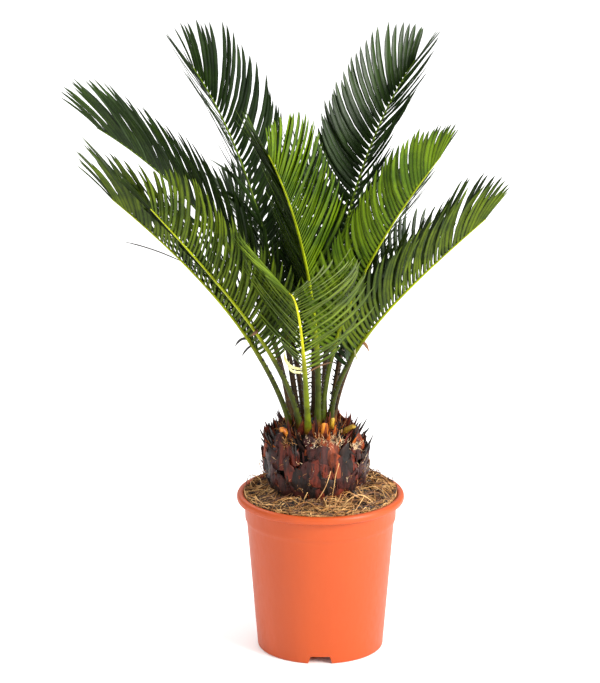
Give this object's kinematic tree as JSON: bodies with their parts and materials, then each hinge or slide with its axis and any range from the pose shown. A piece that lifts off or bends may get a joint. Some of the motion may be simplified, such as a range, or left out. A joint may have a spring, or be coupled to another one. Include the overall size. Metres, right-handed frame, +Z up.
{
  "type": "potted sago palm",
  "caption": "Sago palm with a squat scaly trunk and arching feather fronds, growing in a tapered round plastic plant pot.",
  "frame": {"origin": "centre of the pot's flat underside, on the ground", "axes": "+Z up along the pot's axis, -Y towards the side seen from the front, +X to the right"},
  "size_m": [0.4931, 0.4698, 0.7062],
  "materials": {
    "pot": "terracotta-coloured satin plastic",
    "soil": "dark peat soil under tan coir fibres",
    "trunk": "dark maroon-brown overlapping leaf-base scales",
    "frond": "leathery green leaflets with a satin sheen"
  },
  "bodies": {
    "root": {"pot": "pot", "soil": "soil", "trunk": "trunk", "frond_tall_right": "frond", "frond_tall_left": "frond", "frond_long_left": "frond", "frond_low_right": "frond", "frond_right": "frond", "frond_front": "frond", "frond_low_left": "frond", "frond_front_left": "frond", "frond_small_front": "frond", "frond_back_right": "frond", "frond_back": "frond", "frond_back_left": "frond", "frond_low_back": "frond"}
  },
  "joints": []
}
